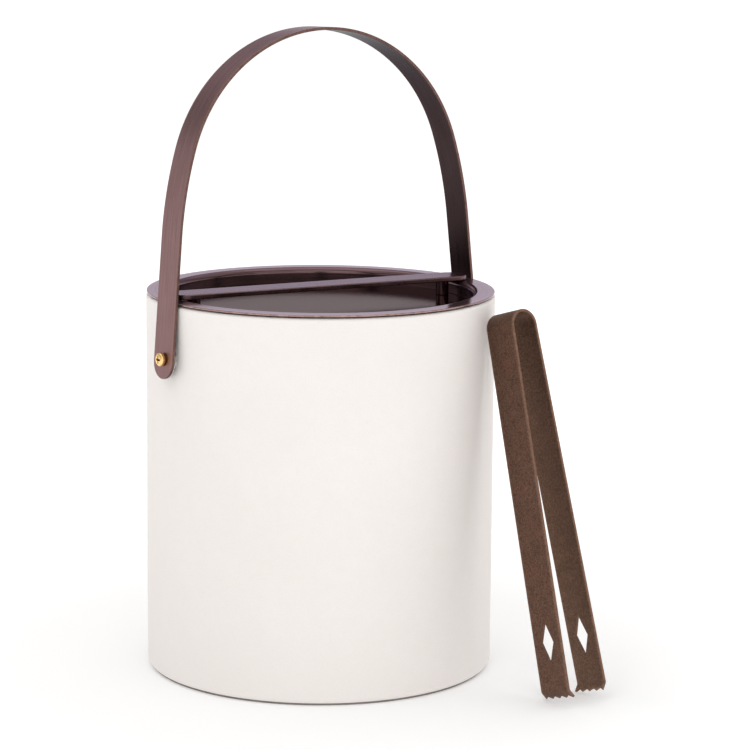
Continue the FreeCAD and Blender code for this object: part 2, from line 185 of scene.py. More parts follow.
def surface(name, patches, closed=True):
    """Object from patches of (points, flat, wear): points is rows x columns x 3, flat is the
    same grid's place on the unrolled sheet, and the wear value is 0 to 1, how worn its edge is;
    on the screws it is how deep the recess is, which the brass paints as shade."""
    places, flats, wears, faces, start = [], [], [], [], 0
    for points, flat, wear in patches:
        rows, columns = points.shape[:2]
        faces.append(grid_faces(rows, columns) + start)
        places.append(points.reshape(-1, 3))
        flats.append(flat.reshape(-1, 2))
        wears.append(np.broadcast_to(wear, (rows, columns)).reshape(-1))
        start += rows * columns
    places, flats, wears = map(np.concatenate, (places, flats, wears))
    mesh = bpy.data.meshes.new(name)
    mesh.from_pydata(places.tolist(), [], np.concatenate(faces).tolist())
    corner_points = np.zeros(len(mesh.loops), int)
    mesh.loops.foreach_get("vertex_index", corner_points)
    mesh.uv_layers.new(name="flat").data.foreach_set("uv", flats[corner_points].reshape(-1))
    mesh.attributes.new("wear", "FLOAT", "POINT").data.foreach_set("value", wears)
    work = bmesh.new()
    work.from_mesh(mesh)
    bmesh.ops.remove_doubles(work, verts=work.verts, dist=MERGE)
    bmesh.ops.dissolve_degenerate(work, edges=work.edges, dist=MERGE / 10)
    work.to_mesh(mesh)
    work.free()
    if closed and signed_volume(mesh) < 0:
        mesh.flip_normals()
    mesh.shade_smooth()
    made = bpy.data.objects.new(name, mesh)
    bpy.context.scene.collection.objects.link(made)
    open_edges = len(mesh.edges) * 2 - len(mesh.loops)
    print(f"{name:22s} {len(mesh.polygons):6d} faces, {open_edges} open edges")
    return made


# %% [markdown]
# Turned pieces, such as the wall, the liner, the spacers and the screws, are a profile carried
# round an axis. The profile's corners are rounded with true arcs, and its long straight runs get
# a point close to each arc, so that smooth shading doesn't leak from the arc over the flat.

# %% Rounded profiles and turned surfaces
GUARD = 0.2 * MM


def rounded_profile(corners, closed, step=4 * MM, arc_steps=6):
    """Points along a line of (a, b, radius) corners. Each corner is an arc that touches both
    its sides: its centre lies on the bisector, radius / sin(half the angle) from the corner."""
    places = np.array([corner[:2] for corner in corners], float)
    runs = []
    for i, (here, radius) in enumerate(zip(places, [corner[2] for corner in corners])):
        if radius <= 0:
            runs.append(here[None])
            continue
        before = places[i - 1] - here
        after = places[(i + 1) % len(places)] - here
        before, after = before / np.linalg.norm(before), after / np.linalg.norm(after)
        half = math.acos(np.clip(before @ after, -1, 1)) / 2
        centre = here + (before + after) / np.linalg.norm(before + after) * radius / math.sin(half)
        first = here + before * radius / math.tan(half) - centre
        last = here + after * radius / math.tan(half) - centre
        share = np.linspace(0, 1, arc_steps + 1)[:, None]
        sweep = math.pi - 2 * half
        runs.append(centre + (np.sin((1 - share) * sweep) * first + np.sin(share * sweep) * last)
                    / math.sin(sweep))
    if closed:
        runs.append(runs[0][:1])
    line = [runs[0]]
    for run in runs[1:]:
        start, end = line[-1][-1], run[0]
        length = np.linalg.norm(end - start)
        if length > 4 * GUARD:
            inner = np.linspace(GUARD, length - GUARD, max(2, math.ceil(length / step) + 1))
            line.append(start + (end - start) * inner[:, None] / length)
        line.append(run)
    return np.concatenate(line)


def run_length(line):
    """Distance along a line of points, from its first."""
    return np.concatenate([[0], np.cumsum(np.linalg.norm(np.diff(line, axis=0), axis=1))])


def turned_grid(profile, angles, centre=(0, 0, 0), axis="Z"):
    """Profile of (radius, height) points at each angle about an axis: across one direction by
    radius times cosine, across the other by radius times sine, and along the axis by height."""
    radius, height = profile[:, :1], profile[:, 1:]
    across, up = radius * np.cos(angles), radius * np.sin(angles)
    along = height + 0 * up
    order = {"Z": (across, up, along), "X": (along, across, up)}[axis]
    flat = np.stack(np.broadcast_arrays(angles * wall_radius, run_length(profile)[:, None]), -1)
    return np.stack(order, -1) + np.array(centre), flat


def full_turn(steps):
    """Angles of a whole turn, whose first and last columns share their places."""
    return np.linspace(0, 2 * math.pi, steps + 1)


# %% [markdown]
# ## The leather-look wall
# The real covering is one sheet of faux leather, wrapped round a tube, turned in under the base
# and over the top, with a butt seam at the back. A plain cylinder would look like a tin, so the
# profile has soft edges of different radii, the seam is a real groove, and the skin is very
# slightly uneven, as glued leather is.

# %% The wall


def make_wall():
    """Closed section of the covering carried round the axis. The skin moves along the profile's
    normal: inwards by a bell curve across the seam, and by slow waves of a few hundredths."""
    r, t = wall_radius, wrap_thickness
    lip_inside = r - wrap_lip
    profile = rounded_profile([
        (r - wrap_turn_in, wrap_bottom, 0.3 * MM),
        (r, wrap_bottom, bottom_rounding),
        (r, wrap_top, top_rounding),
        (lip_inside, wrap_top, 0.3 * MM),
        (lip_inside, wrap_top - t, 0),
        (r - t, wrap_top - t, 0),
        (r - t, wrap_bottom + t, 0),
        (r - wrap_turn_in, wrap_bottom + t, 0),
    ], closed=True)
    near = np.array([0, .08, .16, .24, .32, .42, .55, .75, 1.1, 1.7, 2.6]) * MM / r
    far = np.linspace(near[-1], 2 * math.pi - near[-1], 242)[1:-1]
    angles = math.pi / 2 + np.concatenate([near, far, 2 * math.pi - near[::-1]])
    points, flat = turned_grid(profile, angles)
    from_seam = np.minimum(angles - angles[0], angles[-1] - angles) * r
    outside = (profile[:, 0] > r - 2 * bottom_rounding) & (profile[:, 0] > r - t + 1e-6)
    height = profile[:, 1:]
    waves = (np.sin(3 * angles + 21 * height) * np.sin(38 * height + 1.0)
             + 0.6 * np.sin(7 * angles - 47 * height + 0.8))
    groove = seam_depth * np.exp(-(from_seam / seam_half_width) ** 2)
    skin = (-skin_wave * (1 + waves / 1.6) - groove) * outside[:, None]
    outward = np.stack([np.cos(angles), np.sin(angles), 0 * angles], -1)
    return surface("bucket_wall", [(points + skin[..., None] * outward, flat, 0.0)])


bucket_wall = make_wall()

# %% [markdown]
# ## The spun liner and its rim
# A spinner presses a disc of steel over a turning form, so the liner, its rolled mouth and the
# flat rim are one sheet. The same turned profile gives all of it. The wear value is highest on
# the rim's outer edge, where the bronze plating rubs through to copper.

# %% The liner


def make_liner():
    """Profile of the sheet from the middle of the floor's underside, up the outside, out along
    the rim and back down the inside, carried round the axis."""
    outside = liner_inside + sheet
    edge = 0.3 * MM
    profile = rounded_profile([
        (0, liner_floor, 0),
        (outside, liner_floor, liner_corner),
        (outside, rim_top - sheet, rim_roll - sheet),
        (rim_radius, rim_top - sheet, edge),
        (rim_radius, rim_top, edge),
        (liner_inside, rim_top, rim_roll),
        (liner_inside, liner_floor + sheet, liner_corner - sheet),
        (0, liner_floor + sheet, 0),
    ], closed=False, arc_steps=8)
    points, flat = turned_grid(profile, full_turn(256))
    to_edge = np.hypot(profile[:, 0] - rim_radius, np.minimum(profile[:, 1] - rim_top + sheet, 0))
    wear = np.exp(-(to_edge / (0.45 * MM)) ** 2)
    return surface("liner_spun", [(points, flat, wear[:, None])])


liner_spun = make_liner()

# %% [markdown]
# ## The arched strap
# The handle is cut flat, drilled and bent. The mesh is made in that order too: first the flat
# blank with its round ends and holes, then every point is carried onto the bent line. Solidify
# gives it the sheet's thickness and Bevel breaks the sharp edges. Solidify also puts the cut
# edges and the inner side in material slots of their own.

# %% The strap's line
half_span = strap_outer - arm_height * math.tan(strap_taper)
side_radius = half_span + arch_side_extra
arch_radius = half_span - arch_top_less
arch_change = math.acos((half_span - side_radius * math.cos(strap_taper))
                        / (arch_radius - side_radius))
arm_run = arm_height / math.cos(strap_taper)
side_run = arm_run + side_radius * (arch_change - strap_taper)
crown_run = side_run + arch_radius * (math.pi / 2 - arch_change)
print("strap is", round(2000 * (crown_run + strap_end), 1), "mm long when flat")


def strap_point(along, across):
    """Place of a point of the flat blank on the bent strap. Along is from the crown, below zero
    on the left. From the pivot up it is a straight arm, a wide arc and a tighter arc."""
    up = crown_run - np.abs(along)
    arm_x = strap_outer - np.sin(strap_taper) * up
    arm_z = np.cos(strap_taper) * up
    side_turn = strap_taper + (up - arm_run) / side_radius
    side_x = half_span - side_radius * math.cos(strap_taper)
    side_z = arm_height - side_radius * math.sin(strap_taper)
    crown_turn = arch_change + (up - side_run) / arch_radius
    crown_x = side_x + (side_radius - arch_radius) * math.cos(arch_change)
    crown_z = side_z + (side_radius - arch_radius) * math.sin(arch_change)
    low, middle = up < arm_run, up < side_run
    x = np.where(low, arm_x, np.where(middle, side_x + side_radius * np.cos(side_turn),
                                      crown_x + arch_radius * np.cos(crown_turn)))
    z = np.where(low, arm_z, np.where(middle, side_z + side_radius * np.sin(side_turn),
                                      crown_z + arch_radius * np.sin(crown_turn)))
    y = across + 0 * up
    leaned_y = y * math.cos(handle_lean) - z * math.sin(handle_lean)
    leaned_z = y * math.sin(handle_lean) + z * math.cos(handle_lean)
    return np.stack([np.sign(along) * x, leaned_y, leaned_z + pivot_height], -1)


# %% The strap's blank


def strap_end_grid(columns):
    """Rings from the screw's hole out to the blank's outline, which is two straight sides, a
    half circle and the line where the blank goes on."""
    half = strap_width / 2
    go_on = -9.0 * MM
    round_centre = strap_end - half
    turn = np.linspace(-math.pi / 2, math.pi / 2, 33)
    sides = np.linspace(go_on, round_centre, 7)
    outline = np.concatenate([
        np.stack([sides[:-1], np.full(6, -half)], -1),
        np.stack([round_centre + half * np.cos(turn), half * np.sin(turn)], -1),
        np.stack([sides[-2::-1], np.full(6, half)], -1),
        np.stack([np.full(len(columns) - 1, go_on), columns[-2::-1]], -1),
    ])
    bearing = np.arctan2(outline[:, 1], outline[:, 0])
    hole = strap_hole * np.stack([np.cos(bearing), np.sin(bearing)], -1)
    share = np.array([0, .08, .25, .5, .75, .92, 1])[:, None, None]
    return hole + (outline - hole) * share, crown_run + go_on


def thickened(made, thickness, edge, finishes):
    """Gives a sheet its thickness on the inner side, breaks its edges, and keeps the result as
    the piece's own mesh. Finishes are for the outer side, the inner side and the cut edges."""
    for given in finishes:
        made.data.materials.append(given)
    solid = made.modifiers.new("thickness", "SOLIDIFY")
    solid.thickness, solid.offset, solid.use_even_offset = thickness, -1, True
    solid.material_offset, solid.material_offset_rim = 1, 2
    bevel = made.modifiers.new("broken edge", "BEVEL")
    bevel.width, bevel.segments, bevel.limit_method = edge, 2, "ANGLE"
    bevel.angle_limit, bevel.harden_normals = math.radians(35), True
    bpy.context.view_layer.update()
    evaluated = made.evaluated_get(bpy.context.evaluated_depsgraph_get())
    final = bpy.data.meshes.new_from_object(evaluated, preserve_all_data_layers=True,
                                            depsgraph=bpy.context.evaluated_depsgraph_get())
    made.modifiers.clear()
    made.data = final
    final.name = made.name
    print(f"{made.name:22s} {len(final.polygons):6d} faces once it is thick")
    return made


def make_strap():
    """Flat blank of one long strip and two drilled ends, carried onto the bent line."""
    columns = np.linspace(-strap_width / 2, strap_width / 2, 17)
    end_grid, strip_end = strap_end_grid(columns)
    along = np.linspace(-strip_end, strip_end, 261)[:, None]
    strip = np.stack(np.broadcast_arrays(along, columns), -1)
    right = end_grid + np.array([crown_run, 0])
    right = np.concatenate([right, right[:, :1]], 1)
    patches = []
    for blank in (strip, right, -right):
        inward = (strap_width / 2 - np.abs(blank[..., 1])) / (0.9 * MM)
        patches.append((strap_point(blank[..., 0], blank[..., 1]), blank,
                        np.exp(-inward ** 2)))
    return surface("handle_strap_bent", patches, closed=False)


handle_strap_bent = make_strap()

# %% [markdown]
# ## The lid
# The lid is a flat disc that drops into the liner, with a long flat bar screwed on over two
# short standoffs. The bar is a stack of stadium outlines, each set in a little more than the
# last where the edge rounds off, and the innermost one closes on the bar's middle line.

# %% The lid's disc and standoffs


def turn_with_lid(points):
    """Turns points about the bucket's axis, as the lid was put down."""
    c, s = math.cos(lid_turn), math.sin(lid_turn)
    x, y, z = np.moveaxis(points, -1, 0)
    return np.stack([x * c - y * s, x * s + y * c, z], -1)


def make_lid_disc():
    """Thin disc with broken edges; the grain runs straight along the bar, so the flat map is
    the disc's own x and y before it is turned."""
    edge = 0.35 * MM
    profile = rounded_profile([
        (0, lid_bottom, 0),
        (lid_radius, lid_bottom, edge),
        (lid_radius, lid_top, edge),
        (0, lid_top, 0),
    ], closed=False)
    points, _ = turned_grid(profile, full_turn(256))
    wear = np.exp(-((profile[:, :1] - lid_radius) / (0.5 * MM)) ** 2)
    return surface("lid_disc_brushed", [(turn_with_lid(points), points[..., :2], wear)])


def make_standoff(side):
    """Short tube under one end of the bar."""
    edge = 0.25 * MM
    profile = rounded_profile([
        (standoff_bore, lid_top, 0),
        (standoff_radius, lid_top, edge),
        (standoff_radius, bar_bottom, edge),
        (standoff_bore, bar_bottom, 0),
    ], closed=True)
    points, flat = turned_grid(profile, full_turn(48))
    points = turn_with_lid(points + np.array([side * standoff_place, 0, 0]))
    return surface("lid_post_" + SIDES[side], [(points, flat, 0.0)])


lid_disc_brushed = make_lid_disc()
lid_posts = {side: make_standoff(side) for side in SIDES}

# %% The lid's bar


def make_lid_bar():
    """Stadium outline, a straight run and a half circle at each end, set in by a quarter of a
    circle at the edges and closed on the middle line above and below."""
    edge = 0.45 * MM
    radius = bar_width / 2
    straight = bar_length / 2 - radius
    thickness = bar_top - bar_bottom
    section = rounded_profile([
        (0, bar_top, 0),
        (radius, bar_top, edge),
        (radius, bar_bottom, edge),
        (0, bar_bottom, 0),
    ], closed=False, step=1.5 * MM)
    turn = np.linspace(-math.pi / 2, math.pi / 2, 33)
    run = np.linspace(-straight, straight, 41)
    place = np.concatenate([np.full(33, straight), run[-2:0:-1], np.full(33, -straight),
                            run[1:-1], [straight]])
    bearing = np.concatenate([turn, np.full(39, math.pi / 2), turn + math.pi,
                              np.full(39, 1.5 * math.pi), [1.5 * math.pi]])
    reach, height = section[:, :1], section[:, 1:]
    x = place + reach * np.cos(bearing)
    y = reach * np.sin(bearing)
    points = np.stack(np.broadcast_arrays(x, y, height), -1)
    wear = np.exp(-((reach - radius) / (0.5 * MM)) ** 2)
    print("bar is", round(1000 * thickness, 2), "mm thick")
    return surface("lid_bar_flat", [(turn_with_lid(points), points[..., :2], wear)])


lid_bar_flat = make_lid_bar()

# %% [markdown]
# ## Pivot screws and clear spacers
# Each end of the strap turns on a brass pan-head screw. The head is a height field on a round
# grid: a flattened dome, minus a cross whose arms get shallower towards their ends. The clear
# ring behind the strap keeps it off the wall.

# %% Screws and spacers


def soft_step(value, width):
    """0 below minus width, 1 above width, and a smooth S in between."""
    share = np.clip((value + width) / (2 * width), 0, 1)
    return share * share * (3 - 2 * share)


def make_pivot_screw(side):
    """Head, then shank, as one turned surface along X. The recess is the larger of two crossed
    slots, deepest in the middle."""
    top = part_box("pivot_screw_right")[1].x
    inner_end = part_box("pivot_screw_right")[0].x
    face = top - screw_head_height
    reach = np.concatenate([np.linspace(0, 2.4, 61), np.linspace(2.44, 3.4, 16)]) * MM
    share = reach / screw_head_radius
    dome = dome_edge + dome_rise * (1 - share ** 3.2) ** (1 / 2.4)
    edge = 0.2 * MM
    lower = rounded_profile([
        (screw_head_radius, dome_edge, 0),
        (screw_head_radius, 0, edge),
        (screw_radius, 0, 0),
        (screw_radius, inner_end - face, edge),
        (0, inner_end - face, 0),
    ], closed=False)[1:]
    profile = np.concatenate([np.stack([reach, dome], -1), lower])
    points, flat = turned_grid(profile, full_turn(144), (face, 0, pivot_height), "X")
    y, z = points[..., 1], points[..., 2] - pivot_height
    from_middle = np.hypot(y, z)
    arms = [soft_step(recess_half_width - np.abs(a), 0.07 * MM)
            * soft_step(recess_reach - np.abs(b), 0.12 * MM) for a, b in ((y, z), (z, y))]
    depth = recess_depth * np.maximum(*arms) * (1 - 0.55 * (from_middle / recess_reach) ** 1.5)
    on_head = np.arange(len(profile)) < len(reach)
    points[..., 0] -= np.clip(depth, 0, None) * on_head[:, None]
    points[..., 0] *= side
    # The recess depth is kept as the wear value, which the brass finish paints as shade.
    wear = np.clip(depth / (0.5 * MM), 0, 1) * on_head[:, None]
    return surface("pivot_screw_brass_" + SIDES[side], [(points, flat, wear)])


def make_spacer(side):
    """Clear ring with well rounded edges, seated against the wall."""
    low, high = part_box("pivot_spacer_right")
    profile = rounded_profile([
        (spacer_bore, low.x, 0.2 * MM),
        (spacer_radius, low.x, 0.35 * MM),
        (spacer_radius, high.x, 0.6 * MM),
        (spacer_bore, high.x, 0.2 * MM),
    ], closed=True, step=1.0 * MM)
    points, flat = turned_grid(profile, full_turn(72), (0, 0, pivot_height), "X")
    points[..., 0] *= side
    return surface("pivot_ring_clear_" + SIDES[side], [(points, flat, 0.0)])


pivot_screws = {side: make_pivot_screw(side) for side in SIDES}
pivot_rings = {side: make_spacer(side) for side in SIDES}

# %% [markdown]
# ## The tongs
# The tongs are one strip of bronze-plated steel, stamped with a diamond in each arm and teeth at
# each tip, then bent over at the top. Cutting the diamonds with a Boolean would leave ragged
# faces. Instead the strip is two ribbons side by side, which part round each diamond and meet
# again, so the openings are clean edges of the mesh.

# %% The tongs' line
bend_run = tongs_bend * (math.pi / 2 - tongs_spread)
knee_tangent = claw_bend * math.tan(claw_turn / 2)
knee_start = bend_run + tongs_arm - knee_tangent
knee_end = knee_start + claw_bend * claw_turn
tip_run = knee_end + claw_length - knee_tangent
diamond_run = bend_run + tongs_arm - diamond_above_claw
print("tongs' strip is", round(2000 * tip_run, 1), "mm long when flat")


def facing(angle):
    """Outward and downward unit vectors, as (x, z) pairs, of an arm turned by angle."""
    return (np.stack([np.cos(angle), np.sin(angle)], -1),
            np.stack([np.sin(angle), -np.cos(angle)], -1))


def tongs_line(along):
    """Outer face's middle line in the tongs' own x and z: a round bend at the top, a straight
    arm, a small bend at the knee and the straight claw. Below zero it is the other arm."""
    run = np.abs(along)
    out, down = facing(np.array(tongs_spread))
    claw_out, claw_down = facing(np.array(tongs_spread - claw_turn))
    bend_out, _ = facing(math.pi / 2 - run / tongs_bend)
    arm = out * tongs_bend + down * (run - bend_run)[..., None]
    knee_centre = out * (tongs_bend - claw_bend) + down * (knee_start - bend_run)
    knee_out, _ = facing(tongs_spread - (run - knee_start) / claw_bend)
    claw = knee_centre + claw_out * claw_bend + claw_down * (run - knee_end)[..., None]
    line = np.where((run < bend_run)[..., None], bend_out * tongs_bend, arm)
    line = np.where((run > knee_start)[..., None], knee_centre + knee_out * claw_bend, line)
    line = np.where((run > knee_end)[..., None], claw, line)
    return line * np.stack([np.sign(along), np.ones_like(along)], -1)


tongs_turn = Matrix.Rotation(tongs_heading, 3, "Z") @ Matrix.Rotation(-tongs_lean, 3, "X")
tip_low = tongs_line(np.array([tip_run]))[0, 1] - tongs_sheet


def tongs_point(along, across):
    """Carries the strip's own x, y and z into place beside the bucket."""
    line = tongs_line(along)
    own = np.stack([line[..., 0], across, line[..., 1]], -1)
    return own @ np.array(tongs_turn).T + np.array(tongs_centre)


# %% The tongs' strip


def make_tongs():
    """Two ribbons along the strip. Their inner edges part by the diamond's half width, which
    falls in proportion to the distance from its middle, and their ends are cut to teeth."""
    rows = np.concatenate([
        np.linspace(0, bend_run, 17)[:-1],
        np.linspace(bend_run, diamond_run - diamond_half_length, 46)[:-1],
        np.linspace(diamond_run - diamond_half_length, diamond_run + diamond_half_length,
                    17)[:-1],
        np.linspace(diamond_run + diamond_half_length, knee_start, 5)[:-1],
        np.linspace(knee_start, knee_end, 9)[:-1],
        np.linspace(knee_end, tip_run - tooth_depth - 0.5 * MM, 3),
    ])
    share = np.linspace(0, 1, 17)
    towards_notch = 1 - np.abs((share * 4) % 2 - 1)
    tooth_line = tip_run - tooth_depth * towards_notch
    rows = np.repeat(rows[:, None], len(share), 1)
    last = rows[-1]
    steps = np.array([0.35, 0.7, 1.0])[:, None]
    rows = np.concatenate([rows, last + (tooth_line - last) * steps])
    along = np.concatenate([-rows[:0:-1], rows])
    gap = diamond_half_width * np.clip(1 - np.abs(np.abs(along) - diamond_run)
                                       / diamond_half_length, 0, 1)
    height = tongs_line(along)[..., 1]
    half = top_half + (tip_half - top_half) * (tongs_bend - height) / (tongs_bend - tip_low)
    patches = []
    for side in (1, -1):
        across = side * (gap + (half - gap) * share)
        flat = np.stack([along, across], -1)
        at_edge = np.exp(-((half - np.abs(across)) / (0.8 * MM)) ** 2)
        at_tip = np.exp(-((tip_run - np.abs(along)) / (1.6 * MM)) ** 2)
        points = tongs_point(along, across)
        order = slice(None, None, side)
        patches.append((points[:, order], flat[:, order], np.maximum(at_edge, at_tip)[:, order]))
    return surface("tongs_strip", patches, closed=False)


tongs_strip = make_tongs()

# %% [markdown]
# ## Finishes
# Each finish is a small tree of shader nodes. The same few ideas make all of them: stretched
# noise is brushed grain, cells are leather grain, slow noise is patina, and the wear value shows
# where plating has rubbed off an edge; on the screws it is the recess depth, painted as shade.
# Uniform numbers are set on the shader itself.

# %% Shader helpers


def node(tree, kind, inputs=None, **settings):
    """Adds a shader node, sets its options, and sets or links its inputs by name or number."""
    made = tree.nodes.new("ShaderNode" + kind)
    for option, value in settings.items():
        setattr(made, option, value)
    for key, value in (inputs or {}).items():
        if isinstance(value, bpy.types.NodeSocket):
            tree.links.new(value, made.inputs[key])
        else:
            made.inputs[key].default_value = value
    return made


def finish(name, **values):
    """New material with one Principled shader whose sockets are set by name."""
    made = bpy.data.materials.new(name)
    made.use_nodes = True
    tree = made.node_tree
    shader = tree.nodes["Principled BSDF"]
    for socket, value in values.items():
        shader.inputs[socket.replace("_", " ")].default_value = value
    return made, tree, shader


def noise(tree, vector, scale, detail=3.0, rough=0.55, distortion=0.0):
    """Noise value, 0 to 1, of a place."""
    return node(tree, "TexNoise", {"Vector": vector, "Scale": scale, "Detail": detail,
                                   "Roughness": rough, "Distortion": distortion}).outputs["Fac"]


def spread(tree, value, low, high, out_low=0.0, out_high=1.0):
    """Stretches the range low to high of a value over out_low to out_high."""
    return node(tree, "MapRange", {"Value": value, "From Min": low, "From Max": high,
                                   "To Min": out_low, "To Max": out_high}).outputs["Result"]


def blend_colour(tree, share, first, second):
    """Mix of two colours by a share from 0 to 1."""
    mixed = tree.nodes.new("ShaderNodeMix")
    mixed.data_type = "RGBA"
    for socket, value in ((mixed.inputs[0], share), (mixed.inputs[6], first),
                          (mixed.inputs[7], second)):
        if isinstance(value, bpy.types.NodeSocket):
            tree.links.new(value, socket)
        elif socket == mixed.inputs[0]:
            socket.default_value = value
        else:
            socket.default_value = (*value, 1.0)
    return mixed.outputs[2]


def calculate(tree, operation, *values):
    """One step of arithmetic on values or sockets."""
    return node(tree, "Math", dict(enumerate(values)), operation=operation).outputs[0]


def object_place(tree):
    """Place in the object's own metres."""
    return node(tree, "TexCoord").outputs["Object"]


def flat_place(tree, stretch):
    """Place on the unrolled sheet, squeezed so that noise on it turns into streaks."""
    flat = node(tree, "UVMap", uv_map="flat").outputs["UV"]
    return node(tree, "Mapping", {"Vector": flat, "Scale": stretch}).outputs["Vector"]


def wear_and_recess_shade_value(tree):
    """How worn the mesh says an edge is, from 0 to 1; on the screws, how deep the recess is, which
    the brass paints as shade.
    """
    return node(tree, "Attribute", attribute_name="wear").outputs["Fac"]


def raise_bump(tree, shader, height, strength, depth):
    """Tilts the shader's normal by a height from 0 to 1 over a depth in metres."""
    bump = node(tree, "Bump", {"Height": height, "Strength": strength, "Distance": depth})
    tree.links.new(bump.outputs["Normal"], shader.inputs["Normal"])


# %% [markdown]
# Faux leather is a vinyl skin with an embossed grain. Voronoi cells about two thirds of a
# millimetre across give the pebbles, the distance to their edges gives the creases, and a finer
# noise gives the pores. Slower noises tint the cream by a few percent, so that it doesn't look
# printed. The cream is also painted a little darker down in the creases, as painted shade.

# %% Cream leather


def make_leather():
    """Pebbles, creases and pores as one bump height, over cream that varies slightly."""
    made, tree, shader = finish("cream_faux_leather", Sheen_Weight=0.06, Sheen_Roughness=0.5,
                                Specular_IOR_Level=0.42)
    place = object_place(tree)
    shift = noise(tree, place, 700.0, 2.0)
    bent = node(tree, "VectorMath", {0: place, 1: (1, 1, 1), 2: (0, 0, 0)},
                operation="MULTIPLY_ADD")
    offset = node(tree, "VectorMath", {0: shift, "Scale": 0.0006}, operation="SCALE")
    tree.links.new(offset.outputs[0], bent.inputs[2])
    cells = node(tree, "TexVoronoi", {"Vector": bent.outputs[0], "Scale": 1500.0}, feature="F1")
    creases = node(tree, "TexVoronoi", {"Vector": bent.outputs[0], "Scale": 1500.0},
                   feature="DISTANCE_TO_EDGE")
    crease = spread(tree, creases.outputs["Distance"], 0.0, 0.16)
    pores = noise(tree, place, 5200.0, 3.0)
    slow = noise(tree, place, 16.0, 4.0)
    cloth = noise(tree, place, 160.0, 3.0)
    height = calculate(tree, "ADD", calculate(tree, "MULTIPLY", crease, 0.7),
                       calculate(tree, "MULTIPLY", cells.outputs["Distance"], -0.35))
    height = calculate(tree, "ADD", height, calculate(tree, "MULTIPLY", pores, 0.25))
    raise_bump(tree, shader, height, 0.35, 0.05 * MM)
    cream = blend_colour(tree, spread(tree, slow, 0.35, 0.65), (0.885, 0.838, 0.806),
                         (0.91, 0.866, 0.836))
    cream = blend_colour(tree, spread(tree, cloth, 0.3, 0.7, 0.0, 0.35), cream,
                         (0.865, 0.82, 0.79))
    # Painted shade: the cream darkens a little towards the creases between the pebbles.
    cream = blend_colour(tree, spread(tree, crease, 0.0, 1.0, 0.22, 0.0), cream,
                         (0.72, 0.67, 0.62))
    tree.links.new(cream, shader.inputs["Base Color"])
    rough = spread(tree, calculate(tree, "ADD", pores, slow), 0.6, 1.4, 0.46, 0.6)
    tree.links.new(rough, shader.inputs["Roughness"])
    return made


# %% [markdown]
# Brushed metal keeps the marks of the belt that polished it: scratches a few hundredths of a
# millimetre wide and centimetres long. Noise on the flat map, stretched a hundred times along
# the sheet, has that shape. Two widths of streak change the colour, roughness and bump together,
# and anisotropy smears reflections across the grain. The grazing colour tints what is mirrored
# near the edge of sight. Down inside the liner, below the lid's level, the colour goes over to a
# much lighter one, which is painted light in the shade there, and a metal share below one lets
# that part stay visible in the shade.

# %% Brushed bronze
painted_light_full, painted_light_start = lid_bottom - 30 * MM, lid_bottom - 6 * MM


def make_bronze(name, dark, light, copper, rough=(0.26, 0.42), wear_share=0.8, long=45.0,
                anisotropy=0.5, grazing=(1, 1, 1), painted_light_deep=None, metal=1.0):
    """Brushed plating whose grain runs along the flat map's first direction. Where a painted light
    colour is given, the colour goes over to it from the lid's level down, as painted light in
    the shade deep inside."""
    made, tree, shader = finish(name, Metallic=metal, Anisotropic=anisotropy,
                                Specular_Tint=(*grazing, 1.0))
    fine = noise(tree, flat_place(tree, (long, 4200.0, 1)), 1.0, 4.0)
    broad = noise(tree, flat_place(tree, (long / 6, 900.0, 1)), 1.0, 3.0)
    patina = noise(tree, object_place(tree), 38.0, 4.0, distortion=0.4)
    streak = calculate(tree, "ADD", calculate(tree, "MULTIPLY", fine, 0.72),
                       calculate(tree, "MULTIPLY", broad, 0.28))
    colour = blend_colour(tree, spread(tree, streak, 0.36, 0.64), dark, light)
    colour = blend_colour(tree, spread(tree, patina, 0.4, 0.7, 0.0, 0.3), colour, dark)
    # Painted light: from the lid's level down the colour fades to a much lighter one, so the deep
    # inside of the liner shows in its shade.
    if painted_light_deep:
        height = node(tree, "SeparateXYZ", {"Vector": object_place(tree)}).outputs["Z"]
        painted_light_share = spread(tree, height, painted_light_full, painted_light_start, 1.0, 0.0)
        colour = blend_colour(tree, painted_light_share, colour, painted_light_deep)
    worn = calculate(tree, "MULTIPLY", wear_and_recess_shade_value(tree),
                     spread(tree, noise(tree, object_place(tree), 420.0), 0.3, 0.6, 0.45, 1.0))
    colour = blend_colour(tree, calculate(tree, "MULTIPLY", worn, wear_share), colour, copper)
    tree.links.new(colour, shader.inputs["Base Color"])
    tree.links.new(spread(tree, streak, 0.35, 0.65, *rough), shader.inputs["Roughness"])
    tangent = node(tree, "Tangent", direction_type="UV_MAP", uv_map="flat")
    tree.links.new(tangent.outputs["Tangent"], shader.inputs["Tangent"])
    raise_bump(tree, shader, streak, 0.22, 0.03 * MM)
    return made


# %% [markdown]
# The tongs were blasted and aged instead of brushed, so their skin is sandy and mottled, with
# reddish and nearly black patches and light copper where the edges rub.

# %% Aged bronze for the tongs


